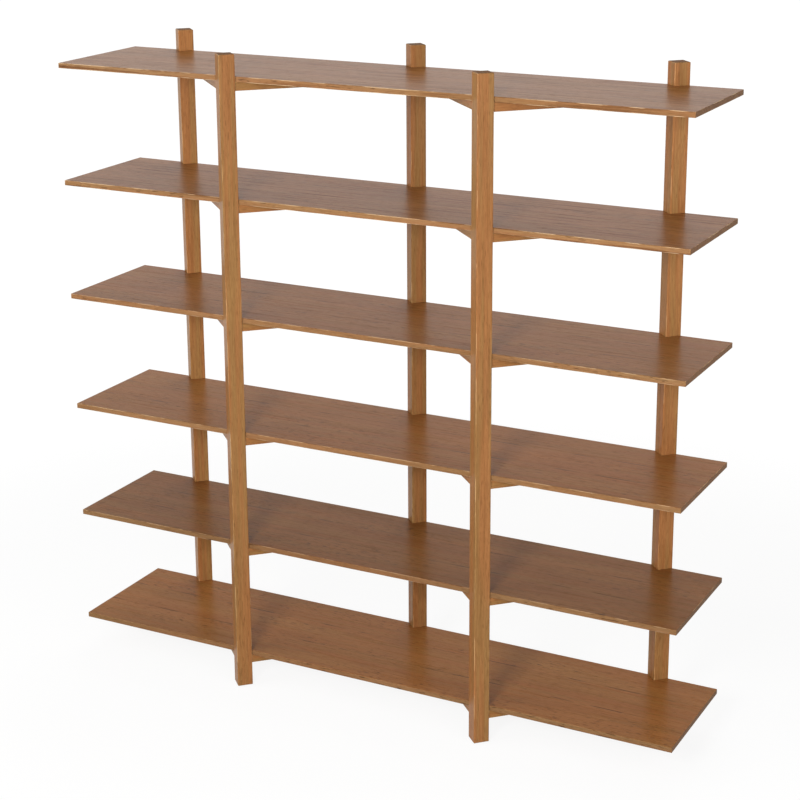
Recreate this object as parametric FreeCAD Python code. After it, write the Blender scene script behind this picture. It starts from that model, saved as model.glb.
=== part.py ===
"""Open shelving unit on five square posts set cornerwise, three behind and two in front.

Rails run in a zigzag from post to post under every shelf, and the shelves are notched round the posts.
Millimetres. +X is to the right seen from the front, +Y to the back, +Z up.
The origin is on the floor, midway along the unit and midway from front to back.
"""
import math
import os

import FreeCAD
import Part

Vector = FreeCAD.Vector
Rotation = FreeCAD.Rotation
Placement = FreeCAD.Placement
UP = Vector(0, 0, 1)

# Shelves
shelf_count = 6
shelf_thickness = 15.0
shelf_pitch = 341.0         # from one shelf's top to the next one's
lowest_shelf_top = 112.0    # above the floor
end_overhang = 178.0        # from the last post's axis to the shelf's end
shelf_edge_radius = 1.2
notch_clearance = 1.0       # all round a post where a shelf is notched for it

# Posts
post_names = ["rear_left", "front_left", "rear_centre", "front_right", "rear_right"]
post_side = 45.0
post_pitch = 386.0          # step along the unit from one post's axis to the next one's
post_setout = 3.0           # post axes stand this far outside the shelves' long edges
post_rise = 61.0            # above the top shelf
post_arris_radius = 2.5
post_end_chamfer = 2.0

# Rails
rail_names = ["outer_left", "inner_left", "inner_right", "outer_right"]
rail_width = 36.0
rail_height = 25.0
rail_edge_radius = 1.5

# Cam bolts, turned into the posts and caught by a cam lock in each rail end
bolt_thread_radius = 3.5
bolt_thread_depth = 11.0
bolt_thread_clearance = 0.1
bolt_collar_radius = 3.8
bolt_collar_length = 2.0
bolt_shank_radius = 3.0
bolt_neck_radius = 2.2
bolt_neck_length = 4.5
bolt_head_radius = 3.4
bolt_head_length = 3.0
bolt_tunnel_clearance = 0.3  # round the collar, in the rail and in the lock

# Cam locks, pressed into the rails from below
lock_radius = 7.4
lock_clearance = 0.1
lock_reach = 34.0           # from the rail's end to the lock's axis
lock_cap = 5.5              # solid and tunnel wall above the bolt's axis
lock_recess = 0.5           # below the rail's face
lock_slot_length = 9.0
lock_slot_width = 1.6
lock_slot_depth = 3.0

# Dowels, one beside each cam bolt
dowel_radius = 3.0
dowel_in_post = 12.0
dowel_in_rail = 18.0
dowel_clearance = 0.1
dowel_end_gap = 1.0
dowel_side_wood = 4.0       # rail left outside a dowel

# Screws, driven up through the rails into the shelves
screw_inset = 100.0         # from a rail's end to the nearest screw
screw_shank_radius = 2.0
screw_shank_clearance = 0.3
screw_bite_clearance = 0.1
screw_head_radius = 4.2
screw_head_height = 2.6
screw_head_clearance = 0.6
screw_well_depth = 3.2      # counterbore that sinks the head into the rail
screw_tip_cover = 5.0       # shelf left above a screw's tip
screw_tip_gap = 0.5
screw_slot_width = 1.2
screw_slot_depth = 1.4

# Foot glides, nailed under the posts
glide_radius = 15.0
glide_thickness = 3.0
glide_edge_chamfer = 0.8
glide_nail_radius = 1.25
glide_nail_length = 15.0
glide_nail_clearance = 0.1
glide_nail_gap = 1.0

# Cutting tools run this far past the faces that they open
overrun = 2.0

# Angles in degrees
quarter_turn = 90.0
half_turn = 180.0
cornerwise = quarter_turn / 2
parallel_within = 1.0       # an edge this near to a direction counts as running along it

# Worked out from the values above
row_spacing = post_pitch    # as deep as one step along, so that the rails lie at 45 degrees
shelf_depth = row_spacing - 2 * post_setout
shelf_length = (len(post_names) - 1) * post_pitch + 2 * end_overhang
post_top = lowest_shelf_top + (shelf_count - 1) * shelf_pitch + post_rise
rail_length = math.hypot(post_pitch, row_spacing) - post_side
tunnel_radius = bolt_collar_radius + bolt_tunnel_clearance
lock_well_radius = lock_radius + lock_clearance
lock_well_depth = rail_height / 2 + lock_cap
dowel_offset = rail_width / 2 - dowel_side_wood - dowel_radius


def shelf_top(level):
    """Height of a shelf's top face, counted from 0 for the lowest."""
    return lowest_shelf_top + level * shelf_pitch


def rail_top(level):
    """Height of the rails' top faces, which are where the shelf's underside is."""
    return shelf_top(level) - shelf_thickness


def post_place(index):
    """Where a post's axis meets the floor. Even posts stand behind, odd ones in front."""
    along = (index - (len(post_names) - 1) / 2) * post_pitch
    across = row_spacing / 2 if index % 2 == 0 else -row_spacing / 2
    return Vector(along, across, 0)


def centred_box(length, width, bottom, top):
    """A box round the Z axis, between two heights."""
    return Part.makeBox(length, width, top - bottom, Vector(-length / 2, -width / 2, bottom))


def upright_edges(solid):
    """The edges that run straight up and down."""
    return [edge for edge in solid.Edges if is_along(edge, UP)]


def is_along(edge, direction):
    """True for a straight edge parallel to a direction."""
    if not isinstance(edge.Curve, Part.Line):
        return False
    return abs(edge.Curve.Direction.dot(direction)) > math.cos(math.radians(parallel_within))


def diamond_prism(side, radius, bottom, top):
    """A square bar standing cornerwise on the origin, its upright arrises rounded."""
    bar = centred_box(side, side, bottom, top)
    bar = bar.makeFillet(radius, upright_edges(bar))
    bar.rotate(Vector(0, 0, 0), UP, cornerwise)
    return bar


def turned_along_x(start, steps):
    """A round piece along +X, made of (length, radius) steps from a start point on the X axis."""
    pieces = []
    reach = start
    for length, radius in steps:
        pieces.append(Part.makeCylinder(radius, length, Vector(reach, 0, 0), Vector(1, 0, 0)))
        reach += length
    whole = pieces[0]
    if len(pieces) > 1:
        whole = whole.fuse(pieces[1:]).removeSplitter()
    return whole


def at_both_ends(shape):
    """A shape at a rail's starting end and its copy at the other end, half a turn round."""
    copy = shape.copy()
    copy.rotate(Vector(rail_length / 2, 0, 0), UP, half_turn)
    return [shape, copy]


def rail_placement(level, index):
    """Puts a rail's own frame between two neighbouring posts.

    In that frame the rail runs along +X from its starting post, and its middle height is at zero.
    """
    start = post_place(index)
    along = (post_place(index + 1) - start).normalize()
    middle = Vector(0, 0, rail_top(level) - rail_height / 2)
    return Placement(start + along * (post_side / 2) + middle, Rotation(Vector(1, 0, 0), along))


def placed(shapes, level, index):
    """Copies of shapes made in a rail's own frame, put where that rail is."""
    moved = []
    for shape in shapes:
        copy = shape.copy()
        copy.Placement = rail_placement(level, index).multiply(copy.Placement)
        moved.append(copy)
    return moved


def on_every_rail(shapes):
    """Copies of a rail's small parts for all the rails."""
    pieces = []
    for level in range(shelf_count):
        for index in range(len(rail_names)):
            pieces += placed(shapes, level, index)
    return pieces


# Cam bolts

def make_cam_bolt():
    """Threaded end in the post, collar against the post's face, head inside the lock."""
    head_end = lock_reach + bolt_head_length / 2
    shank_length = head_end - bolt_head_length - bolt_neck_length - bolt_collar_length
    return turned_along_x(-bolt_thread_depth, [
        (bolt_thread_depth, bolt_thread_radius),
        (bolt_collar_length, bolt_collar_radius),
        (shank_length, bolt_shank_radius),
        (bolt_neck_length, bolt_neck_radius),
        (bolt_head_length, bolt_head_radius),
    ])


def bolt_tunnel():
    """The space that the bolt needs in the rail's end and in the lock."""
    return turned_along_x(-overrun, [(overrun + lock_reach + lock_radius / 2, tunnel_radius)])


def bolt_post_hole():
    """The threaded end bottoms in it."""
    radius = bolt_thread_radius + bolt_thread_clearance
    return turned_along_x(-bolt_thread_depth, [(bolt_thread_depth + overrun, radius)])


# Cam locks

def lock_cylinder(radius, bottom):
    """Upright cylinder on the lock's axis, up to the top of its well."""
    height = lock_cap - bottom
    return Part.makeCylinder(radius, height, Vector(lock_reach, 0, bottom))


def make_cam_lock():
    """Round cam with a tunnel for the bolt's head and a cross slot for the driver."""
    bottom = -rail_height / 2 + lock_recess
    lock = lock_cylinder(lock_radius, bottom).cut(bolt_tunnel())
    for turn in (0, quarter_turn):
        slot = centred_box(lock_slot_length, lock_slot_width, bottom - overrun, bottom + lock_slot_depth)
        slot.rotate(Vector(0, 0, 0), UP, turn)
        slot.translate(Vector(lock_reach, 0, 0))
        lock = lock.cut(slot)
    return lock


# Dowels

def dowel_shape(in_post, in_rail, radius):
    """Plain round rod across the joint, to one side of the cam bolt."""
    dowel = turned_along_x(-in_post, [(in_post + in_rail, radius)])
    dowel.translate(Vector(0, dowel_offset, 0))
    return dowel


def make_dowel():
    return dowel_shape(dowel_in_post, dowel_in_rail, dowel_radius)


def dowel_hole():
    """Bottoms on the dowel in the post, and leaves a glue gap in the rail."""
    return dowel_shape(dowel_in_post, dowel_in_rail + dowel_end_gap, dowel_radius + dowel_clearance)


# Screws

def screw_seat():
    """Height of the face that a screw's head bears on, in the rail's frame."""
    return screw_well_depth - rail_height / 2


def screw_tip():
    """Height of a screw's tip, in the rail's frame."""
    return rail_height / 2 + shelf_thickness - screw_tip_cover


def upright_rod(radius, bottom, top):
    """Upright cylinder on a screw's axis."""
    return Part.makeCylinder(radius, top - bottom, Vector(screw_inset, 0, bottom))


def make_screw():
    """Flat head, straight shank, and a cross slot half as wide as the head."""
    head_bottom = screw_seat() - screw_head_height
    slot_top = head_bottom + screw_slot_depth
    screw = upright_rod(screw_head_radius, head_bottom, screw_seat())
    screw = screw.fuse(upright_rod(screw_shank_radius, screw_seat(), screw_tip())).removeSplitter()
    for turn in (0, quarter_turn):
        slot = centred_box(screw_head_radius, screw_slot_width, head_bottom - overrun, slot_top)
        slot.rotate(Vector(0, 0, 0), UP, turn)
        slot.translate(Vector(screw_inset, 0, 0))
        screw = screw.cut(slot)
    return screw


def screw_rail_hole():
    """Clearance hole right through the rail, with a well for the head in its underside."""
    shank_radius = screw_shank_radius + screw_shank_clearance
    head_radius = screw_head_radius + screw_head_clearance
    through = upright_rod(shank_radius, screw_seat() - overrun, rail_height / 2 + overrun)
    well = upright_rod(head_radius, -rail_height / 2 - overrun, screw_seat())
    return through.fuse(well)


def screw_shelf_hole():
    """Blind hole in the shelf's underside."""
    radius = screw_shank_radius + screw_bite_clearance
    return upright_rod(radius, rail_height / 2 - overrun, screw_tip() + screw_tip_gap)


# Rails

def make_rail():
    """One bar, bored alike at both ends, so that any rail fits any place."""
    bar = Part.makeBox(rail_length, rail_width, rail_height, Vector(0, -rail_width / 2, -rail_height / 2))
    bar = bar.makeFillet(rail_edge_radius, [edge for edge in bar.Edges if is_along(edge, Vector(1, 0, 0))])
    lock_well = lock_cylinder(lock_well_radius, lock_cap - lock_well_depth - overrun)
    for tool in (bolt_tunnel(), lock_well, dowel_hole(), screw_rail_hole()):
        bar = bar.cut(at_both_ends(tool))
    return bar


# Posts

def make_post(index):
    """Square post with bevelled ends, bored for the rails that meet it and for its glide's nail."""
    body = centred_box(post_side, post_side, glide_thickness, post_top)
    end_edges = [edge for edge in body.Edges if not is_along(edge, UP)]
    body = body.makeChamfer(post_end_chamfer, end_edges)
    body.rotate(Vector(0, 0, 0), UP, cornerwise)
    post = body.common(diamond_prism(post_side, post_arris_radius, glide_thickness, post_top))
    nail_top = glide_thickness + glide_nail_length + glide_nail_gap
    nail_hole = Part.makeCylinder(glide_nail_radius + glide_nail_clearance, nail_top)
    post = post.cut(nail_hole)
    post.translate(post_place(index))
    starting_tools = [bolt_post_hole(), dowel_hole()]
    ending_tools = [at_both_ends(tool)[1] for tool in starting_tools]
    tools = []
    for level in range(shelf_count):
        if index < len(rail_names):
            tools += placed(starting_tools, level, index)
        if index > 0:
            tools += placed(ending_tools, level, index - 1)
    return post.cut(tools)


# Shelves

def make_shelf(level):
    """Long board, notched round all the posts and drilled from below for its screws."""
    board = centred_box(shelf_length, shelf_depth, rail_top(level), shelf_top(level))
    board = board.makeFillet(shelf_edge_radius, board.Edges)
    side = post_side + 2 * notch_clearance
    radius = post_arris_radius + notch_clearance
    notch = diamond_prism(side, radius, rail_top(level) - overrun, shelf_top(level) + overrun)
    tools = []
    for index in range(len(post_names)):
        tools.append(notch.translated(post_place(index)))
    for index in range(len(rail_names)):
        tools += placed(at_both_ends(screw_shelf_hole()), level, index)
    return board.cut(tools)


# Foot glides

def make_glide(index):
    """Round pad with a nail on top, its lower edge bevelled."""
    pad = Part.makeCylinder(glide_radius, glide_thickness)
    lower_edge = [edge for edge in pad.Edges if edge.BoundBox.ZMax < glide_thickness / 2]
    pad = pad.makeChamfer(glide_edge_chamfer, lower_edge)
    nail = Part.makeCylinder(glide_nail_radius, glide_nail_length, Vector(0, 0, glide_thickness))
    glide = pad.fuse(nail)
    glide.translate(post_place(index))
    return glide


def single_solid(shape):
    """The one solid of a finished piece."""
    solids = shape.Solids
    if len(solids) != 1:
        raise ValueError("a piece came out as %d solids" % len(solids))
    return solids[0]


def write_node(name, shapes):
    """One file for a node: a single piece, or a group of like pieces."""
    solids = [single_solid(shape) for shape in shapes]
    node = solids[0] if len(solids) == 1 else Part.makeCompound(solids)
    node.exportStep(os.path.join("parts", name + ".step"))


def build():
    os.makedirs("parts", exist_ok=True)
    for index, name in enumerate(post_names):
        write_node("post_" + name, [make_post(index)])
    rail = make_rail()
    for level in range(shelf_count):
        write_node("shelf_%d" % (level + 1), [make_shelf(level)])
        for index, name in enumerate(rail_names):
            write_node("rail_%d_%s" % (level + 1, name), placed([rail], level, index))
    write_node("cam_bolts", on_every_rail(at_both_ends(make_cam_bolt())))
    write_node("cam_locks", on_every_rail(at_both_ends(make_cam_lock())))
    write_node("rail_dowels", on_every_rail(at_both_ends(make_dowel())))
    write_node("shelf_screws", on_every_rail(at_both_ends(make_screw())))
    write_node("foot_glides", [make_glide(index) for index in range(len(post_names))])


build()
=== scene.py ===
"""Open shelving unit in lacquered brown wood: five posts set cornerwise, zigzag rails and six long shelves.

Metres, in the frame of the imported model: +X to the right seen from the front, +Y to the back, +Z up.
"""
import math

import bmesh
import bpy
from mathutils import Matrix, Quaternion, Vector


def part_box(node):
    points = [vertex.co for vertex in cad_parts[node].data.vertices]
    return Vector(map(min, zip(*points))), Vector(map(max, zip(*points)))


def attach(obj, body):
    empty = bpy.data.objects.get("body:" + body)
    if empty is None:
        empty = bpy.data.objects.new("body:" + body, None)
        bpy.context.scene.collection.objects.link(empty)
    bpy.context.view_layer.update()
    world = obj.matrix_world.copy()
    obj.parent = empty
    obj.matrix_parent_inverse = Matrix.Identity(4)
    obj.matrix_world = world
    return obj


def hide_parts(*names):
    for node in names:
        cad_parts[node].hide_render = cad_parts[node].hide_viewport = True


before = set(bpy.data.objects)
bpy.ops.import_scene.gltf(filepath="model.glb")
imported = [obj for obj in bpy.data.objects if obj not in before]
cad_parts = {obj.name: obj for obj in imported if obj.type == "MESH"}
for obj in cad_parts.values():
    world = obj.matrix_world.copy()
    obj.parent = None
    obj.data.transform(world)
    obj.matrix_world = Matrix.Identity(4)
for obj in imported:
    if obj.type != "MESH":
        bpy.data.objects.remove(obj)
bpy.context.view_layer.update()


# Camera
# It stands where the photograph was taken from: in front of the unit, past its right end and above its top.
# The lens is shifted down only as far as the views from other sides allow.
image_side_px = 800
focal_length_px = 1898
lens_axis_px = (400, 318)
camera_place = Vector((2.400, -4.541, 2.605))
camera_azimuth = math.radians(27.41)
camera_dip = math.radians(16.01)
camera_roll = math.radians(-0.33)

camera = bpy.data.objects.new("camera", bpy.data.cameras.new("camera"))
camera.data.lens = focal_length_px / image_side_px * camera.data.sensor_width
camera.data.shift_x = (image_side_px / 2 - lens_axis_px[0]) / image_side_px
camera.data.shift_y = (lens_axis_px[1] - image_side_px / 2) / image_side_px
looks_along = Vector((
    -math.sin(camera_azimuth) * math.cos(camera_dip),
    math.cos(camera_azimuth) * math.cos(camera_dip),
    -math.sin(camera_dip),
))
camera.rotation_mode = "QUATERNION"
camera.rotation_quaternion = looks_along.to_track_quat("-Z", "Y") @ Quaternion((0, 0, 1), camera_roll)
camera.location = camera_place
bpy.context.collection.objects.link(camera)
bpy.context.scene.camera = camera
bpy.context.scene.view_settings.view_transform = "Standard"


# Studio
# A pale floor with a faint shadow, a white surround that lights the unit from all sides, three lamps in front
# and one behind. Reflections leave out the front and back lamps, and show the surround as the eye sees it.
plain_white = (1, 1, 1, 1)
surround_light = 0.26
floor_half_side = 30.0
floor_colour = (0.78, 0.78, 0.77, 1)
floor_whiteness = 1.04
floor_shadow_share = 0.14
floor_shadow_reach = 1.5
floor_shadow_end = 3.5


def add_node(tree, kind, inputs=None, **settings):
    """Adds a node. An input is a plain value or the output of another node."""
    node = tree.nodes.new(kind)
    for name, value in settings.items():
        setattr(node, name, value)
    for name, value in (inputs or {}).items():
        if isinstance(value, bpy.types.NodeSocket):
            tree.links.new(value, node.inputs[name])
        else:
            node.inputs[name].default_value = value
    return node


def calculate(tree, operation, *values):
    return add_node(tree, "ShaderNodeMath", dict(enumerate(values)), operation=operation).outputs[0]


def seen_share(tree):
    """One for what the eye sees, straight, in a reflection or through something clear."""
    path = add_node(tree, "ShaderNodeLightPath").outputs
    mirrored = calculate(tree, "MAXIMUM", path["Is Glossy Ray"], path["Is Transmission Ray"])
    return calculate(tree, "MAXIMUM", path["Is Camera Ray"], mirrored)


def light_surround():
    world = bpy.data.worlds.new("studio_surround")
    world.use_nodes = True
    tree = world.node_tree
    tree.nodes.clear()
    strength = calculate(tree, "MULTIPLY_ADD", seen_share(tree), 1 - surround_light, surround_light)
    surround = add_node(tree, "ShaderNodeBackground", {"Color": plain_white, "Strength": strength})
    add_node(tree, "ShaderNodeOutputWorld", {"Surface": surround.outputs[0]})
    bpy.context.scene.world = world


def start_material(name):
    material = bpy.data.materials.new(name)
    material.use_nodes = True
    material.node_tree.nodes.clear()
    return material


def lay_floor():
    mesh = bpy.data.meshes.new("studio_floor")
    sheet = bmesh.new()
    bmesh.ops.create_grid(sheet, x_segments=1, y_segments=1, size=floor_half_side)
    sheet.to_mesh(mesh)
    sheet.free()
    floor = bpy.data.objects.new("studio_floor", mesh)
    bpy.context.collection.objects.link(floor)

    material = start_material("pale_floor")
    tree = material.node_tree
    matt = add_node(tree, "ShaderNodeBsdfDiffuse", {"Color": floor_colour})
    white = add_node(tree, "ShaderNodeEmission", {"Color": plain_white, "Strength": floor_whiteness})
    place = add_node(tree, "ShaderNodeTexCoord").outputs["Object"]
    from_unit = add_node(tree, "ShaderNodeVectorMath", {0: place}, operation="LENGTH").outputs["Value"]
    fade = {
        "Value": from_unit,
        "From Min": floor_shadow_reach,
        "From Max": floor_shadow_end,
        "To Min": 1 - floor_shadow_share,
        "To Max": 1.0,
    }
    lit_share = add_node(tree, "ShaderNodeMapRange", fade, interpolation_type="SMOOTHSTEP").outputs[0]
    lifted = calculate(tree, "MULTIPLY", seen_share(tree), lit_share)
    surface = add_node(tree, "ShaderNodeMixShader", {0: lifted, 1: matt.outputs[0], 2: white.outputs[0]})
    add_node(tree, "ShaderNodeOutputMaterial", {"Surface": surface.outputs[0]})
    mesh.materials.append(material)


def hang_lamp(name, place, aim, side, watts, mirrored):
    lamp = bpy.data.lights.new(name, "AREA")
    lamp.size = side
    lamp.energy = watts
    holder = bpy.data.objects.new(name, lamp)
    holder.location = place
    holder.rotation_mode = "QUATERNION"
    holder.rotation_quaternion = (Vector(aim) - Vector(place)).to_track_quat("-Z", "Y")
    holder.visible_glossy = mirrored
    bpy.context.collection.objects.link(holder)


light_surround()
lay_floor()
hang_lamp("front_lamp", place=(0.55, -4.0, 2.4), aim=(0, 0, 1.1), side=1.1, watts=120, mirrored=False)
hang_lamp("right_lamp", place=(4.2, -2.4, 2.2), aim=(0, 0, 0.9), side=3.4, watts=88, mirrored=True)
hang_lamp("left_lamp", place=(-3.2, -3.0, 2.8), aim=(0, 0, 0.9), side=3.0, watts=72, mirrored=True)
hang_lamp("back_lamp", place=(-0.8, 3.6, 3.9), aim=(0, 0, 0.9), side=3.0, watts=72, mirrored=False)


# Posts
# Five square bars of solid hardwood, each with a corner to the front, stained brown and lacquered to a low
# shine. The arrises are sanded round and the ends bevelled. Along the edges the stain is rubbed thin, and a
# painted highlight is laid over it.
post_names = ["rear_left", "front_left", "rear_centre", "front_right", "rear_right"]
post_side = 0.045
post_ring_width = 0.0034
post_heart = Vector((0, 0.055, 0.035))           # middle of the growth rings, from the bar's own middle
post_to_post_in_log = Vector((2.7, 0.11, 0.07))  # each post shows another stretch of the wood
# The rub share also sets how strongly a painted highlight shows along the posts' arrises
post_finish_shares = {"cast": 0.62, "streaks": 0.36, "dashes": 0.28, "rub_and_highlight": 0.46, "lacquer": 0.52}
post_tone = (0.99, 1.05, 1.03)
post_tone_shares = [1.19, 0.91, 0.97, 0.93, 1.07]
post_end_tone_share = 0.72
quarter_turn = math.radians(90)
cornerwise = math.radians(45)

# The marks of the grain: how many spots their noise has to the metre, along the fibres and across them,
# and the levels of the noise between which a mark fades in
mark_spots = {
    "Bend": (1.3, 7, 7),
    "Pores": (38, 900, 900),
    "Flecks": (9, 190, 190),
    "Tone": (1.1, 11, 11),
    "Warmth": (1.8, 58, 58),
    "Streaks": (3.2, 120, 120),
    "Dashes": (34, 270, 270),
    "Clusters": (1.7, 9, 9),
    "Fibres": (16, 420, 420),
}
mark_levels = {
    "Pores": (0.58, 0.68),
    "Flecks": (0.54, 0.74),
    "Tone": (0.30, 0.70),
    "Warmth": (0.36, 0.64),
    "Streaks": (0.50, 0.68),
    "Dashes": (0.62, 0.69),
    "Clusters": (0.42, 0.62),
    "Fibres": (0.35, 0.75),
}
noise_middle = (0.5, 0.5, 0.5)
bend_reach = (0, 0.045, 0.045)       # of the fibres, aside from a straight line
ring_darkens_shares = (0.30, 0.92)   # of a ring's width, over which it grows dark
ring_ends_shares = (1.0, 0.95)       # of a ring's width, over which the next one starts pale
pore_loss_in_rings = -0.05

# The stain rubbed thin along the arrises, with a painted highlight over it,
# no further in than this, and less in some spots
rub_and_highlight_width = 0.0023
rub_and_highlight_spots = (14, 14, 14)
rub_and_highlight_levels = (0.36, 0.66)
rub_and_highlight_full_share = 0.3

# Colours of the stain, as it lies on the wood under the lacquer, and how strongly each mark takes one
stain_light = (0.420, 0.192, 0.072, 1)
stain_middle = (0.335, 0.140, 0.048, 1)
stain_deep = (0.215, 0.080, 0.026, 1)
stain_in_pores = (0.080, 0.028, 0.010, 1)
stain_on_ends = (0.165, 0.068, 0.028, 1)
stain_reddish = (0.405, 0.156, 0.054, 1)
stain_olive = (0.325, 0.176, 0.060, 1)
# Paler stain where it is rubbed thin, made paler still as a painted highlight along the arrises
stain_rubbed_and_highlit = (0.780, 0.480, 0.250, 1)
fibre_share = 0.30
ring_share = 0.25
fleck_share = 0.25
pore_share = 0.45
end_share = 0.42
joint_share = 0.85
end_levels = (0.70, 0.95)
broad_face_levels = (0.6, 0.9)

# The lacquer, and how much of it sinks into the open places of the grain
lacquer_ior = 1.2
lacquer_roughness = 0.28
sunk_in_streaks = 0.20
sunk_in_pores = 0.30
sunk_in_ends = 0.42
wood_gloss = 0.02
wood_roughness = 0.42
open_grain_roughness = 0.18
grain_relief = 0.35
grain_depth = 0.00025


def vector_math(tree, operation, *values, output="Vector"):
    node = add_node(tree, "ShaderNodeVectorMath", dict(enumerate(values)), operation=operation)
    return node.outputs[output]


def noise(tree, place, spots, detail=2.0, roughness=0.5):
    """Cloudy noise, with so many spots to the metre along each axis of the place."""
    stretched = vector_math(tree, "MULTIPLY", place, spots)
    inputs = {"Vector": stretched, "Scale": 1.0, "Detail": detail, "Roughness": roughness}
    return add_node(tree, "ShaderNodeTexNoise", inputs)


def step(tree, value, low, high):
    """A soft step, from zero at the low value to one at the high value."""
    inputs = {"Value": value, "From Min": low, "From Max": high}
    return add_node(tree, "ShaderNodeMapRange", inputs, interpolation_type="SMOOTHSTEP").outputs[0]


def new_group(name, given, made):
    """An empty node group: its tree, its inputs' sockets, and the node that collects its outputs."""
    tree = bpy.data.node_groups.new(name, "ShaderNodeTree")
    for label, kind in given.items():
        tree.interface.new_socket(label, in_out="INPUT", socket_type="NodeSocket" + kind)
    for label, kind in made.items():
        tree.interface.new_socket(label, in_out="OUTPUT", socket_type="NodeSocket" + kind)
    return tree, tree.nodes.new("NodeGroupInput").outputs, tree.nodes.new("NodeGroupOutput")


def give_out(tree, found, made):
    """Joins what a group has found to its outputs of the same names."""
    for label, value in found.items():
        tree.links.new(value, made.inputs[label])


def make_wood_figure():
    """Growth rings round the heart of the tree, open pores, dark streaks and dashes, slow changes of tone.

    The grain runs along X of the place that comes in, which is in metres.
    """
    given_sockets = {"Place": "Vector", "Heart": "Vector", "Ring Width": "Float"}
    marks = ("Rings", "Pores", "Flecks", "Tone", "Warmth", "Streaks", "Dashes", "Fibres")
    tree, given, made = new_group("wood_figure", given_sockets, dict.fromkeys(marks, "Float"))
    place = given["Place"]

    def mark(name, **texture):
        level = noise(tree, place, mark_spots[name], **texture).outputs[0]
        return step(tree, level, *mark_levels[name])

    bend = noise(tree, place, mark_spots["Bend"]).outputs["Color"]
    bend = vector_math(tree, "MULTIPLY", vector_math(tree, "SUBTRACT", bend, noise_middle), bend_reach)
    from_heart = vector_math(tree, "SUBTRACT", vector_math(tree, "ADD", place, bend), given["Heart"])
    across = vector_math(tree, "MULTIPLY", from_heart, (0, 1, 1))
    radius = vector_math(tree, "LENGTH", across, output="Value")
    season = calculate(tree, "FRACT", calculate(tree, "DIVIDE", radius, given["Ring Width"]))
    darkens = step(tree, season, *ring_darkens_shares)
    rings = calculate(tree, "MULTIPLY", darkens, step(tree, season, *ring_ends_shares))
    pores = noise(tree, place, mark_spots["Pores"], detail=1.0).outputs[0]
    pores = calculate(tree, "MULTIPLY_ADD", rings, pore_loss_in_rings, pores)
    dashes = calculate(tree, "MULTIPLY", mark("Dashes", detail=1.0), mark("Clusters"))
    found = {
        "Rings": rings,
        "Pores": step(tree, pores, *mark_levels["Pores"]),
        "Flecks": mark("Flecks", roughness=0.6),
        "Tone": mark("Tone"),
        "Warmth": mark("Warmth", detail=1.0),
        "Streaks": mark("Streaks", roughness=0.6),
        "Dashes": dashes,
        "Fibres": noise(tree, place, mark_spots["Fibres"], roughness=0.6).outputs[0],
    }
    give_out(tree, found, made)
    return tree


def make_edge_rub_and_highlight():
    """A mask along the arrises of a squared piece, stronger in some spots: where hands and cloths rub it, and
    where a highlight is painted on.

    The place is measured from the middle of the piece, along its own sides.
    """
    given_sockets = {"Place": "Vector", "Half Size": "Vector", "Width": "Float"}
    tree, given, made = new_group("edge_rub_and_highlight", given_sockets, {"Rub And Highlight": "Float"})
    inward = vector_math(tree, "SUBTRACT", given["Half Size"], vector_math(tree, "ABSOLUTE", given["Place"]))
    x, y, z = add_node(tree, "ShaderNodeSeparateXYZ", {0: inward}).outputs
    smaller = calculate(tree, "MINIMUM", x, y)
    larger = calculate(tree, "MAXIMUM", x, y)
    second_nearest = calculate(tree, "MAXIMUM", smaller, calculate(tree, "MINIMUM", larger, z))
    uneven = noise(tree, given["Place"], rub_and_highlight_spots, detail=3.0, roughness=0.6).outputs[0]
    reach = calculate(tree, "MULTIPLY", given["Width"], step(tree, uneven, *rub_and_highlight_levels))
    rub_and_highlight = step(tree, second_nearest, reach, calculate(tree, "MULTIPLY", reach, rub_and_highlight_full_share))
    give_out(tree, {"Rub And Highlight": rub_and_highlight}, made)
    return tree


wood_figure = make_wood_figure()
edge_rub_and_highlight = make_edge_rub_and_highlight()


def own_place(tree, middle, turn=(0, 0, 0)):
    """The place measured from a piece's own middle, along its own sides, with its grain along X."""
    start = add_node(tree, "ShaderNodeTexCoord").outputs["Object"]
    inputs = {"Vector": start, "Location": middle, "Rotation": turn}
    return add_node(tree, "ShaderNodeMapping", inputs, vector_type="TEXTURE").outputs[0]


def mix_colours(tree, share, first, second, **settings):
    """Mixes two colours, which the node takes as its inputs 6 and 7 and gives out as its output 2."""
    inputs = {0: share, 6: first, 7: second}
    return add_node(tree, "ShaderNodeMix", inputs, data_type="RGBA", **settings).outputs[2]


def facing_share(tree, direction):
    """One where the surface faces along a direction or against it, and zero where it stands square to it."""
    facing = add_node(tree, "ShaderNodeTexCoord").outputs["Normal"]
    return calculate(tree, "ABSOLUTE", vector_math(tree, "DOT_PRODUCT", facing, direction, output="Value"))


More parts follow.
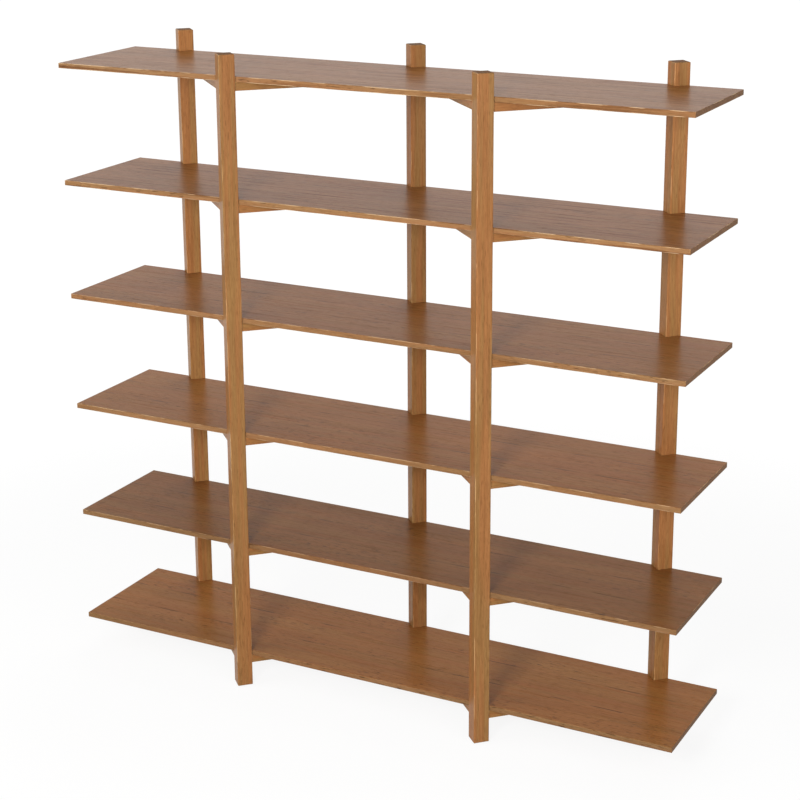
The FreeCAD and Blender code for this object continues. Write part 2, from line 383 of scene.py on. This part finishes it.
def finish_wood(
    material,
    place,
    heart,
    edge_place,
    half_size,
    grain,
    ring_width,
    shares,
    tone_and_shade,
    flat_face_tone_and_shade=None,
    joints=None,
):
    """Stains and lacquers one piece.

    The place is in the log that the piece is cut from, round its heart, and the edge place is on the piece
    itself. Grain is the direction in the unit that its fibres follow. The shares say how strongly its warm
    and cool casts, streaks, dashes and rubbed edges with their painted highlight show, and how full its
    lacquer is. The tone and shade turns the stain's colours into this piece's, and the flat face tone and
    shade those of its upper and lower faces. On a post these give its own tone and its darker ends; on a
    shelf they also hold painted shade, on the edges of the lowest boards and on all broad faces.
    """
    tree = material.node_tree
    inputs = {"Place": place, "Heart": heart, "Ring Width": ring_width}
    marks = add_node(tree, "ShaderNodeGroup", inputs, node_tree=wood_figure).outputs
    inputs = {"Place": edge_place, "Half Size": half_size, "Width": rub_and_highlight_width}
    rub_and_highlight = add_node(tree, "ShaderNodeGroup", inputs, node_tree=edge_rub_and_highlight).outputs["Rub And Highlight"]
    end = step(tree, facing_share(tree, grain), *end_levels)

    colour = mix_colours(tree, marks["Tone"], stain_middle, stain_light)
    cast = mix_colours(tree, marks["Warmth"], stain_olive, stain_reddish)
    colour = mix_colours(tree, shares["cast"], colour, cast)
    layers = [
        (step(tree, marks["Fibres"], *mark_levels["Fibres"]), fibre_share, stain_deep),
        (marks["Rings"], ring_share, stain_deep),
        (marks["Flecks"], fleck_share, stain_deep),
        (marks["Streaks"], shares["streaks"], stain_deep),
        (marks["Dashes"], shares["dashes"], stain_in_pores),
        (marks["Pores"], pore_share, stain_in_pores),
        (end, end_share, stain_on_ends),
    ]
    if joints is not None:
        layers.append((joints, joint_share, stain_in_pores))
    # The stain rubbed thin along the arrises, with a painted highlight there
    layers.append((rub_and_highlight, shares["rub_and_highlight"], stain_rubbed_and_highlit))
    for mark, share, stain in layers:
        colour = mix_colours(tree, calculate(tree, "MULTIPLY", mark, share), colour, stain)
    own_tone_and_shade = (*tone_and_shade, 1)
    # Upper and lower faces take their own colour: darker end grain on a post, painted shade on a shelf's
    # broad faces
    if flat_face_tone_and_shade is not None:
        broad = step(tree, facing_share(tree, (0, 0, 1)), *broad_face_levels)
        own_tone_and_shade = mix_colours(tree, broad, own_tone_and_shade, (*flat_face_tone_and_shade, 1))
    colour = mix_colours(tree, 1.0, colour, own_tone_and_shade, blend_type="MULTIPLY")

    open_grain = calculate(tree, "MAXIMUM", marks["Pores"], end)
    sunk = calculate(tree, "MULTIPLY", marks["Pores"], sunk_in_pores)
    sunk = calculate(tree, "MULTIPLY_ADD", marks["Streaks"], sunk_in_streaks, sunk)
    sunk = calculate(tree, "MAXIMUM", sunk, calculate(tree, "MULTIPLY", end, sunk_in_ends))
    height = calculate(tree, "SUBTRACT", marks["Fibres"], marks["Pores"])
    inputs = {"Height": height, "Strength": grain_relief, "Distance": grain_depth}
    bump = add_node(tree, "ShaderNodeBump", inputs)
    inputs = {
        "Base Color": colour,
        "Roughness": calculate(tree, "MULTIPLY_ADD", open_grain, open_grain_roughness, wood_roughness),
        "Specular IOR Level": wood_gloss,
        "Coat Weight": calculate(tree, "SUBTRACT", shares["lacquer"], sunk),
        "Coat IOR": lacquer_ior,
        "Coat Roughness": lacquer_roughness,
        "Normal": bump.outputs[0],
    }
    wood = add_node(tree, "ShaderNodeBsdfPrincipled", inputs)
    add_node(tree, "ShaderNodeOutputMaterial", {"Surface": wood.outputs[0]})


def box_middle(name):
    """The middle of a solid's box, and half of the box's size."""
    low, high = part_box(name)
    return (low + high) / 2, (high - low) / 2


for number, name in enumerate(post_names):
    node = "post_" + name
    middle, half = box_middle(node)
    post_wood = start_material("post_wood_" + name)
    tree = post_wood.node_tree
    place = own_place(tree, middle, (0, -quarter_turn, cornerwise))
    in_log = number * post_to_post_in_log
    finish_wood(
        post_wood,
        place=vector_math(tree, "ADD", place, in_log),
        heart=Vector((0, in_log.y, in_log.z)) + post_heart,
        edge_place=place,
        half_size=(half.z, post_side / 2, post_side / 2),
        grain=(0, 0, 1),
        ring_width=post_ring_width,
        shares=post_finish_shares,
        tone_and_shade=[post_tone_shares[number] * part for part in post_tone],
        flat_face_tone_and_shade=[post_end_tone_share * part for part in post_tone],
    )
    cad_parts[node].material_slots[0].material = post_wood


# Foot glides
# A round nylon pad under each post, with a rounded lower edge, so that the end grain stays off the floor.
# A flat-headed steel nail in its dished middle holds it to the post.
glide_radius = 0.0150
glide_thickness = 0.0030
glide_edge_radius = 0.0008
dish_radius = 0.0055
dish_floor_radius = 0.0047
dish_depth = 0.0016
nail_radius = 0.00125
nail_head_radius = 0.0040
nail_head_height = 0.0010
nail_head_face_share = 0.8
nail_point_length = 0.0030
nail_top = 0.0180
turning_steps = 24
full_turn = 4 * quarter_turn
weld_distance = 0.000001
sharp_angle = math.radians(35)
stand_upright = Matrix.Rotation(-quarter_turn, 4, "Y")

nylon_deep = (0.046, 0.031, 0.021, 1)
nylon_light = (0.062, 0.044, 0.031, 1)
nylon_scuffed = (0.150, 0.122, 0.096, 1)
nylon_cloud_spots = (120, 120, 120)
nylon_cloud_levels = (0.3, 0.7)
nylon_grain_spots = (2600, 2600, 2600)
nylon_grain_relief = 0.2
nylon_grain_depth = 0.00005
nylon_roughness = 0.38
scuff_spots = (90, 700, 700)
scuff_levels = (0.42, 0.66)
scuff_share = 0.7
scuff_roughness = 0.30

nail_bright = (0.52, 0.51, 0.49, 1)
nail_dull = (0.30, 0.28, 0.26, 1)
tarnish_spots = (1, 1, 1)
tarnish_levels = (0.35, 0.70)
tarnish_share = 0.8
speck_spots = (9, 9, 9)
speck_levels = (0.58, 0.70)
speck_share = 0.4
speck_height = -0.6
scratch_spots = (2, 26, 26)
metal_relief = 0.25
metal_depth = 0.00008


def turn_outline(outline, steps=turning_steps):
    """A round shape about X, turned from an outline of (along, radius) points."""
    solid = bmesh.new()
    points = [solid.verts.new((along, 0, radius)) for along, radius in outline]
    edges = [solid.edges.new(pair) for pair in zip(points, points[1:])]
    bmesh.ops.spin(
        solid,
        geom=points + edges,
        cent=(0, 0, 0),
        axis=(1, 0, 0),
        angle=full_turn,
        steps=steps,
        use_merge=True,
    )
    bmesh.ops.remove_doubles(solid, verts=solid.verts, dist=weld_distance)
    bmesh.ops.recalc_face_normals(solid, faces=solid.faces)
    return solid


def round_edges(solid, radius):
    """Rounds every sharp edge of a shape."""
    sharp = [edge for edge in solid.edges if edge.is_manifold and edge.calc_face_angle() > sharp_angle]
    bmesh.ops.bevel(solid, geom=sharp, offset=radius, affect="EDGES", segments=2, profile=0.5, material=-1)


def copy_to(places, solid):
    """Repeats a shape at every place. Each copy keeps its own coordinates in an attribute."""
    own = solid.verts.layers.float_vector.new("place_on_piece")
    for vert in solid.verts:
        vert[own] = vert.co
    first = list(solid.verts)
    pattern = first + list(solid.edges) + list(solid.faces)
    for place in places[1:]:
        copied = bmesh.ops.duplicate(solid, geom=pattern)["geom"]
        points = [part for part in copied if isinstance(part, bmesh.types.BMVert)]
        bmesh.ops.transform(solid, matrix=place, verts=points)
    bmesh.ops.transform(solid, matrix=places[0], verts=first)


def finish_piece(name, solid, material, slot, *replaced):
    """Makes a new piece of a shape, hangs it under the root body, and hides the parts of the model it
    replaces.
    """
    mesh = bpy.data.meshes.new(name)
    solid.to_mesh(mesh)
    solid.free()
    mesh.shade_smooth()
    mesh.set_sharp_from_angle(angle=sharp_angle)
    mesh.materials.append(material)
    piece = bpy.data.objects.new(name, mesh)
    bpy.context.collection.objects.link(piece)
    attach(piece, "root")
    if replaced:
        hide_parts(*replaced)


def make_metal_patina():
    """Cloudy tarnish, fine dull specks and hairline scratches of small metal parts."""
    given_sockets = {"Place": "Vector", "Spots per Metre": "Float"}
    made_sockets = dict.fromkeys(("Tarnish", "Specks", "Scratches"), "Float")
    tree, given, made = new_group("metal_patina", given_sockets, made_sockets)
    inputs = {0: given["Place"], "Scale": given["Spots per Metre"]}
    place = add_node(tree, "ShaderNodeVectorMath", inputs, operation="SCALE").outputs[0]
    tarnish = noise(tree, place, tarnish_spots, detail=4.0).outputs[0]
    found = {
        "Tarnish": step(tree, tarnish, *tarnish_levels),
        "Specks": step(tree, noise(tree, place, speck_spots).outputs[0], *speck_levels),
        "Scratches": noise(tree, place, scratch_spots, detail=3.0).outputs[0],
    }
    give_out(tree, found, made)
    return tree


metal_patina = make_metal_patina()


def finish_metal(name, bright, dull, spots_per_metre, smooth, rough):
    """A plated or cast metal, brighter where it is smooth and darker in its tarnish."""
    material = start_material(name)
    tree = material.node_tree
    place = add_node(tree, "ShaderNodeTexCoord").outputs["Object"]
    inputs = {"Place": place, "Spots per Metre": spots_per_metre}
    marks = add_node(tree, "ShaderNodeGroup", inputs, node_tree=metal_patina).outputs
    colour = mix_colours(tree, calculate(tree, "MULTIPLY", marks["Tarnish"], tarnish_share), bright, dull)
    colour = mix_colours(tree, calculate(tree, "MULTIPLY", marks["Specks"], speck_share), colour, dull)
    height = calculate(tree, "MULTIPLY_ADD", marks["Specks"], speck_height, marks["Scratches"])
    inputs = {"Height": height, "Strength": metal_relief, "Distance": metal_depth}
    bump = add_node(tree, "ShaderNodeBump", inputs)
    inputs = {
        "Base Color": colour,
        "Metallic": 1.0,
        "Roughness": calculate(tree, "MULTIPLY_ADD", marks["Tarnish"], rough - smooth, smooth),
        "Normal": bump.outputs[0],
    }
    metal = add_node(tree, "ShaderNodeBsdfPrincipled", inputs)
    add_node(tree, "ShaderNodeOutputMaterial", {"Surface": metal.outputs[0]})
    return material


def mould_nylon():
    """Dark brown nylon, scuffed paler where it has slid over the floor."""
    material = start_material("glide_nylon_scuffed")
    tree = material.node_tree
    place = add_node(tree, "ShaderNodeTexCoord").outputs["Object"]
    height = add_node(tree, "ShaderNodeSeparateXYZ", {0: place}).outputs["Z"]
    worn_side = step(tree, height, glide_edge_radius, 0.0)
    scuffs = noise(tree, place, scuff_spots, detail=5.0, roughness=0.6).outputs[0]
    scuffed = calculate(tree, "MULTIPLY", worn_side, step(tree, scuffs, *scuff_levels))
    clouds = step(tree, noise(tree, place, nylon_cloud_spots).outputs[0], *nylon_cloud_levels)
    colour = mix_colours(tree, clouds, nylon_deep, nylon_light)
    colour = mix_colours(tree, calculate(tree, "MULTIPLY", scuffed, scuff_share), colour, nylon_scuffed)
    grain = noise(tree, place, nylon_grain_spots).outputs[0]
    inputs = {"Height": grain, "Strength": nylon_grain_relief, "Distance": nylon_grain_depth}
    bump = add_node(tree, "ShaderNodeBump", inputs)
    inputs = {
        "Base Color": colour,
        "Roughness": calculate(tree, "MULTIPLY_ADD", scuffed, scuff_roughness, nylon_roughness),
        "Normal": bump.outputs[0],
    }
    nylon = add_node(tree, "ShaderNodeBsdfPrincipled", inputs)
    add_node(tree, "ShaderNodeOutputMaterial", {"Surface": nylon.outputs[0]})
    return material


post_feet = []
for name in post_names:
    middle = box_middle("post_" + name)[0]
    post_feet.append(Matrix.Translation((middle.x, middle.y, 0)) @ stand_upright)

pad = turn_outline([
    (dish_depth, 0),
    (dish_depth, dish_floor_radius),
    (0, dish_radius),
    (0, glide_radius),
    (glide_thickness, glide_radius),
    (glide_thickness, 0),
])
round_edges(pad, glide_edge_radius)
copy_to(post_feet, pad)
finish_piece("glide_pads", pad, mould_nylon(), "glide_nylon", "foot_glides")

nail = turn_outline([
    (dish_depth - nail_head_height, 0),
    (dish_depth - nail_head_height, nail_head_radius * nail_head_face_share),
    (dish_depth, nail_head_radius),
    (dish_depth, nail_radius),
    (nail_top - nail_point_length, nail_radius),
    (nail_top, 0),
])
copy_to(post_feet, nail)
nail_steel = finish_metal(
    "nail_steel_bright", nail_bright, nail_dull, spots_per_metre=300, smooth=0.28, rough=0.46
)
finish_piece("glide_nails", nail, nail_steel, "screw_steel")


# Rails
# Twenty-four bars of the same wood in a zigzag from post to post, four under each shelf, laid flat against
# it. Cam locks draw them against the posts, and their long edges are lightly rounded.
rail_names = ["outer_left", "inner_left", "inner_right", "outer_right"]
shelf_count = 6
rail_width = 0.036
rail_ring_width = 0.0030
rail_heart = Vector((0, 0.02, -0.06))
rail_to_rail_in_log = Vector((0.7, 0, 0.09))
level_to_level_in_log = Vector((1.9, 0.13, 0))
# The rub share also sets how strongly a painted highlight shows along the rails' arrises
rail_finish_shares = {"cast": 0.55, "streaks": 0.36, "dashes": 0.22, "rub_and_highlight": 0.36, "lacquer": 0.50}
rail_tone = (0.95, 1.0, 0.95)
half_turn = 2 * quarter_turn
rail_ends = []

for level in range(shelf_count):
    for number, name in enumerate(rail_names):
        node = "rail_%d_%s" % (level + 1, name)
        middle, half = box_middle(node)
        turn = -cornerwise if number % 2 == 0 else cornerwise
        rail_length = 2 * half.x / math.cos(cornerwise) - rail_width
        rail_wood = start_material("rail_wood_%d_%s" % (level + 1, name))
        tree = rail_wood.node_tree
        place = own_place(tree, middle, (0, 0, turn))
        in_log = level * level_to_level_in_log + number * rail_to_rail_in_log
        finish_wood(
            rail_wood,
            place=vector_math(tree, "ADD", place, in_log),
            heart=Vector((0, in_log.y, in_log.z)) + rail_heart,
            edge_place=place,
            half_size=(rail_length / 2, rail_width / 2, half.z),
            grain=(math.cos(turn), math.sin(turn), 0),
            ring_width=rail_ring_width,
            shares=rail_finish_shares,
            tone_and_shade=rail_tone,
        )
        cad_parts[node].material_slots[0].material = rail_wood
        for inward in (turn, turn + half_turn):
            facing_in = Matrix.Rotation(inward, 4, "Z")
            to_post_face = Matrix.Translation((-rail_length / 2, 0, 0))
            rail_ends.append(Matrix.Translation(middle) @ facing_in @ to_post_face)


# Cam bolts
# A steel bolt stands out of the post at each rail end, its coarse thread in the wood and its collar on the
# face. It is turned from bar and zinc-plated, with a narrow neck behind the head for the cam lock to grip.
bolt_thread_length = 0.0110
bolt_thread_radius = 0.0035
bolt_core_radius = 0.0025
bolt_thread_pitch = 0.0028
bolt_tip_length = 0.0015
bolt_tip_radius = 0.0015
bolt_collar_length = 0.0020
bolt_collar_radius = 0.0038
bolt_shank_end = 0.0280
bolt_shank_radius = 0.0030
bolt_neck_end = 0.0325
bolt_neck_radius = 0.0022
bolt_head_end = 0.0355
bolt_head_radius = 0.0034
bolt_edge_radius = 0.0003
thread_steps = 14
thread_ridge_share = 0.55
thread_root_share = 0.94
run_out_share = 0.8
bolt_bright = (0.58, 0.58, 0.58, 1)
bolt_dull = (0.35, 0.35, 0.35, 1)


def wind_thread(solid, start, end, core, crest, pitch):
    """Adds a helical ridge round X between two places, its ends run out into the core."""
    ridge = pitch * thread_ridge_share
    root = core * thread_root_share
    corners = [(start, root), (start + ridge / 2, crest), (start + ridge, root)]
    points = [solid.verts.new((along, 0, radius)) for along, radius in corners]
    edges = [solid.edges.new((points[index - 1], points[index])) for index in range(len(points))]
    steps = round((end - start - ridge) / pitch * thread_steps)
    wound = bmesh.ops.spin(
        solid,
        geom=points + edges,
        cent=(0, 0, 0),
        axis=(1, 0, 0),
        dvec=(pitch / thread_steps, 0, 0),
        angle=full_turn * steps / thread_steps,
        steps=steps,
    )
    last = [part for part in wound["geom_last"] if isinstance(part, bmesh.types.BMVert)]
    for run_out in (points, last):
        middle = sum((point.co for point in run_out), Vector()) / len(run_out)
        into_core = Vector((middle.x, middle.y * run_out_share, middle.z * run_out_share))
        bmesh.ops.pointmerge(solid, verts=run_out, merge_co=into_core)
    bmesh.ops.recalc_face_normals(solid, faces=solid.faces)


bolt = turn_outline([
    (-bolt_thread_length, 0),
    (-bolt_thread_length, bolt_tip_radius),
    (-bolt_thread_length + bolt_tip_length, bolt_core_radius),
    (0, bolt_core_radius),
    (0, bolt_collar_radius),
    (bolt_collar_length, bolt_collar_radius),
    (bolt_collar_length, bolt_shank_radius),
    (bolt_shank_end, bolt_shank_radius),
    (bolt_shank_end, bolt_neck_radius),
    (bolt_neck_end, bolt_neck_radius),
    (bolt_neck_end, bolt_head_radius),
    (bolt_head_end, bolt_head_radius),
    (bolt_head_end, 0),
])
round_edges(bolt, bolt_edge_radius)
wind_thread(
    bolt,
    bolt_tip_length / 2 - bolt_thread_length,
    -bolt_edge_radius,
    bolt_core_radius,
    bolt_thread_radius,
    bolt_thread_pitch,
)
copy_to(rail_ends, bolt)
bolt_steel = finish_metal(
    "bolt_steel_zinc_plated", bolt_bright, bolt_dull, spots_per_metre=220, smooth=0.26, rough=0.44
)
finish_piece("threaded_bolts", bolt, bolt_steel, "bolt_steel", "cam_bolts")


# Cam locks
# A round zinc casting in the underside of each rail end, pushed up over the bolt's head.
# A screwdriver in its cross slot turns it, and it draws the rail tight against the post.
zinc_bright = (0.46, 0.46, 0.47, 1)
zinc_dull = (0.27, 0.27, 0.28, 1)
cast_zinc = finish_metal(
    "lock_zinc_cast", zinc_bright, zinc_dull, spots_per_metre=160, smooth=0.38, rough=0.60
)
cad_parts["cam_locks"].material_slots[0].material = cast_zinc


# Dowels
# A fluted beech dowel beside each bolt, glued in, which stops the rail from turning.
# Its ends are bevelled so that it starts easily, and the flutes let the glue spread along it.
dowel_radius = 0.0030
dowel_in_post = 0.0120
dowel_in_rail = 0.0180
dowel_offset = 0.0110
dowel_bevel = 0.0010
flute_count = 12
flute_depth_share = 0.10
beech_light = (0.600, 0.400, 0.220, 1)
beech_deep = (0.430, 0.255, 0.125, 1)
beech_on_ends = (0.340, 0.200, 0.100, 1)
beech_fibre_spots = (60, 1500, 1500)
beech_fibre_levels = (0.3, 0.7)
beech_fleck_spots = (350, 1800, 1800)
beech_fleck_levels = (0.60, 0.72)
beech_fleck_share = 0.5
beech_gloss = 0.3
beech_roughness = 0.60
beech_fibre_roughness = 0.2
beech_relief = 0.4
beech_depth = 0.0001


def flute(rod):
    """Draws every second line of points along a rod in towards its axis."""
    between_lines = full_turn / (2 * flute_count)
    lines = [vert for vert in rod.verts if round(math.atan2(vert.co.z, vert.co.y) / between_lines) % 2]
    bmesh.ops.scale(rod, vec=(1, 1 - flute_depth_share, 1 - flute_depth_share), verts=lines)


def plane_beech():
    """Pale, fine-grained wood, left without stain or lacquer."""
    material = start_material("dowel_beech")
    tree = material.node_tree
    own = add_node(tree, "ShaderNodeAttribute", attribute_name="place_on_piece").outputs["Vector"]
    place = vector_math(tree, "ADD", own, add_node(tree, "ShaderNodeTexCoord").outputs["Object"])
    x = add_node(tree, "ShaderNodeSeparateXYZ", {0: own}).outputs["X"]
    fibres = noise(tree, place, beech_fibre_spots, detail=3.0).outputs[0]
    flecks = step(tree, noise(tree, place, beech_fleck_spots).outputs[0], *beech_fleck_levels)
    flecks = calculate(tree, "MULTIPLY", flecks, beech_fleck_share)
    in_post = step(tree, x, dowel_bevel - dowel_in_post, -dowel_in_post)
    in_rail = step(tree, x, dowel_in_rail - dowel_bevel, dowel_in_rail)
    colour = mix_colours(tree, step(tree, fibres, *beech_fibre_levels), beech_light, beech_deep)
    colour = mix_colours(tree, flecks, colour, beech_on_ends)
    colour = mix_colours(tree, calculate(tree, "MAXIMUM", in_post, in_rail), colour, beech_on_ends)
    inputs = {"Height": fibres, "Strength": beech_relief, "Distance": beech_depth}
    bump = add_node(tree, "ShaderNodeBump", inputs)
    inputs = {
        "Base Color": colour,
        "Roughness": calculate(tree, "MULTIPLY_ADD", fibres, beech_fibre_roughness, beech_roughness),
        "Specular IOR Level": beech_gloss,
        "Normal": bump.outputs[0],
    }
    beech = add_node(tree, "ShaderNodeBsdfPrincipled", inputs)
    add_node(tree, "ShaderNodeOutputMaterial", {"Surface": beech.outputs[0]})
    return material


dowel_outline = [
    (-dowel_in_post, 0),
    (-dowel_in_post, dowel_radius - dowel_bevel),
    (dowel_bevel - dowel_in_post, dowel_radius),
    (dowel_in_rail - dowel_bevel, dowel_radius),
    (dowel_in_rail, dowel_radius - dowel_bevel),
    (dowel_in_rail, 0),
]
dowel = turn_outline(dowel_outline, 2 * flute_count)
flute(dowel)
beside_bolt = Matrix.Translation((0, dowel_offset, 0))
copy_to([rail_end @ beside_bolt for rail_end in rail_ends], dowel)
finish_piece("fluted_dowels", dowel, plane_beech(), "dowel_wood", "rail_dowels")


# Shelves
# Six thin boards faced with three leaves of veneer side by side, notched round the posts and screwed down
# from below. Each leaf has its own figure, and a thin dark joint shows here and there between two of them.
leaf_count = 3
half_leaf_share = 0.5
leaf_to_leaf_in_log = 3.7
leaf_shift_range = 0.06
joint_levels = (0.0024, 0.0008)  # distances from a joint between which its line grows dark
joint_gap_spots = (5, 0, 0)
joint_gap_levels = (0.46, 0.56)
shelf_ring_width = 0.0031
shelf_heart = (0, 0.01, -0.055)
shelf_finish_shares = {"cast": 0.32, "dashes": 0.80, "lacquer": 0.67}
streak_shares = [0.20, 0.20, 0.24, 0.32, 0.98, 0.98]
# Painted highlight along the shelves' front arrises, over the rubbed stain, stronger on the higher shelves
rub_and_highlight_shares = [0.10, 0.45, 0.50, 0.52, 0.75, 0.92]
shelf_edge_tone = (0.79, 0.91, 1.07)
# Painted shade: the edges of the two lowest shelves are darker, as less light reaches them low down
shelf_edge_shade_shares = [0.88, 0.86, 1.01, 1.02, 1.07, 1.05]
# Painted shade: the shelves' broad faces are darker and warmer than their edges, as less light falls on them;
# each board's share adds its own tone
shelf_face_shade = (0.775, 0.715, 0.535)
shelf_face_tone_shares = [1.11, 0.80, 1.08, 1.05, 1.08, 1.15]


def make_veneer_leaves():
    """Gives each leaf of a board's veneer its own stretch of wood, and marks the joints."""
    given_sockets = {"Place": "Vector", "Leaf Width": "Float", "Board": "Float"}
    tree, given, made = new_group("veneer_leaves", given_sockets, {"Place": "Vector", "Joints": "Float"})
    x, y, z = add_node(tree, "ShaderNodeSeparateXYZ", {0: given["Place"]}).outputs
    count = calculate(tree, "ADD", calculate(tree, "DIVIDE", y, given["Leaf Width"]), leaf_count / 2)
    number = calculate(tree, "FLOOR", count)
    within = calculate(tree, "SUBTRACT", calculate(tree, "FRACT", count), half_leaf_share)
    key = calculate(tree, "MULTIPLY_ADD", given["Board"], leaf_count, number)
    luck = add_node(tree, "ShaderNodeTexWhiteNoise", {"W": key}, noise_dimensions="1D").outputs["Value"]
    along = calculate(tree, "MULTIPLY_ADD", key, leaf_to_leaf_in_log, x)
    sideways = calculate(tree, "MULTIPLY_ADD", luck, leaf_shift_range, -leaf_shift_range / 2)
    own_y = calculate(tree, "MULTIPLY_ADD", within, given["Leaf Width"], sideways)
    own = add_node(tree, "ShaderNodeCombineXYZ", {0: along, 1: own_y, 2: z}).outputs[0]
    from_joint = calculate(tree, "SUBTRACT", half_leaf_share, calculate(tree, "ABSOLUTE", within))
    from_joint = calculate(tree, "MULTIPLY", from_joint, given["Leaf Width"])
    gaps = noise(tree, given["Place"], joint_gap_spots, detail=3.0).outputs[0]
    outer = calculate(tree, "MULTIPLY", given["Leaf Width"], (leaf_count - 1) / 2)
    inner = calculate(tree, "LESS_THAN", calculate(tree, "ABSOLUTE", y), outer)
    joints = calculate(tree, "MULTIPLY", step(tree, from_joint, *joint_levels), inner)
    joints = calculate(tree, "MULTIPLY", joints, step(tree, gaps, *joint_gap_levels))
    give_out(tree, {"Place": own, "Joints": joints}, made)
    return tree


veneer_leaves = make_veneer_leaves()

for level in range(shelf_count):
    node = "shelf_%d" % (level + 1)
    middle, half = box_middle(node)
    shelf_wood = start_material("shelf_wood_%d" % (level + 1))
    tree = shelf_wood.node_tree
    place = own_place(tree, middle)
    inputs = {"Place": place, "Leaf Width": 2 * half.y / leaf_count, "Board": level}
    board = add_node(tree, "ShaderNodeGroup", inputs, node_tree=veneer_leaves).outputs
    finish_wood(
        shelf_wood,
        place=board["Place"],
        heart=shelf_heart,
        edge_place=place,
        half_size=half,
        grain=(1, 0, 0),
        ring_width=shelf_ring_width,
        shares={**shelf_finish_shares, "streaks": streak_shares[level], "rub_and_highlight": rub_and_highlight_shares[level]},
        # Painted shade on the edges of the lowest boards and on every board's broad faces
        tone_and_shade=[shelf_edge_shade_shares[level] * part for part in shelf_edge_tone],
        flat_face_tone_and_shade=[shelf_face_tone_shares[level] * part for part in shelf_face_shade],
        joints=board["Joints"],
    )
    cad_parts[node].material_slots[0].material = shelf_wood


# Screws
# Two steel screws in each rail, driven up from a well in its underside into the shelf.
# They have pan heads with a cross recess, a plain shank in the rail and a coarse thread above it.
screw_inset = 0.1000
screw_head_face = -0.0119
screw_head_radius = 0.0042
screw_head_height = 0.0026
screw_head_face_radius = 0.0031
screw_crown_radius_share = 0.89
screw_crown_height_share = 0.15
screw_brim_height_share = 0.45
screw_shank_length = 0.0110
screw_shank_radius = 0.0019
screw_core_radius = 0.0014
screw_thread_radius = 0.0023
screw_thread_pitch = 0.0020
screw_length = 0.0344
screw_point_length = 0.0034
cross_half_length = 0.0021
cross_depth = 0.0014
cross_taper_share = 0.75
cross_squares = 3
screw_bright = (0.56, 0.57, 0.58, 1)
screw_dull = (0.33, 0.33, 0.34, 1)


def cut_cross(screw):
    """Closes the open face of a screw's head round a sunk cross."""
    upright = Matrix.Rotation(quarter_turn, 4, "Y")
    first_square = len(screw.faces)
    bmesh.ops.create_grid(
        screw, x_segments=cross_squares, y_segments=cross_squares, size=cross_half_length, matrix=upright
    )
    screw.faces.ensure_lookup_table()
    squares = screw.faces[first_square:]
    arm_half_width = cross_half_length / cross_squares
    corners = []
    for square in squares:
        place = square.calc_center_median()
        if min(abs(place.y), abs(place.z)) > arm_half_width:
            corners.append(square)
    cross = [square for square in squares if square not in corners]
    bmesh.ops.delete(screw, geom=corners, context="FACES")
    bmesh.ops.bridge_loops(screw, edges=[edge for edge in screw.edges if edge.is_boundary])
    sunk = bmesh.ops.extrude_face_region(screw, geom=cross)["geom"]
    bmesh.ops.delete(screw, geom=cross, context="FACES")
    floor = [part for part in sunk if isinstance(part, bmesh.types.BMVert)]
    bmesh.ops.scale(screw, vec=(1, cross_taper_share, cross_taper_share), verts=floor)
    bmesh.ops.translate(screw, vec=(cross_depth, 0, 0), verts=floor)
    bmesh.ops.recalc_face_normals(screw, faces=screw.faces)


screw = turn_outline([
    (0, screw_head_face_radius),
    (screw_head_height * screw_crown_height_share, screw_head_radius * screw_crown_radius_share),
    (screw_head_height * screw_brim_height_share, screw_head_radius),
    (screw_head_height, screw_head_radius),
    (screw_head_height, screw_shank_radius),
    (screw_shank_length, screw_shank_radius),
    (screw_shank_length + screw_shank_radius - screw_core_radius, screw_core_radius),
    (screw_length - screw_point_length, screw_core_radius),
    (screw_length, 0),
])
cut_cross(screw)
wind_thread(
    screw,
    screw_shank_length,
    screw_length - screw_point_length,
    screw_core_radius,
    screw_thread_radius,
    screw_thread_pitch,
)
up_from_well = Matrix.Translation((screw_inset, 0, screw_head_face)) @ stand_upright
copy_to([rail_end @ up_from_well for rail_end in rail_ends], screw)
screw_steel = finish_metal(
    "screw_steel_zinc_plated", screw_bright, screw_dull, spots_per_metre=260, smooth=0.24, rough=0.42
)
finish_piece("cross_head_screws", screw, screw_steel, "screw_steel", "shelf_screws")
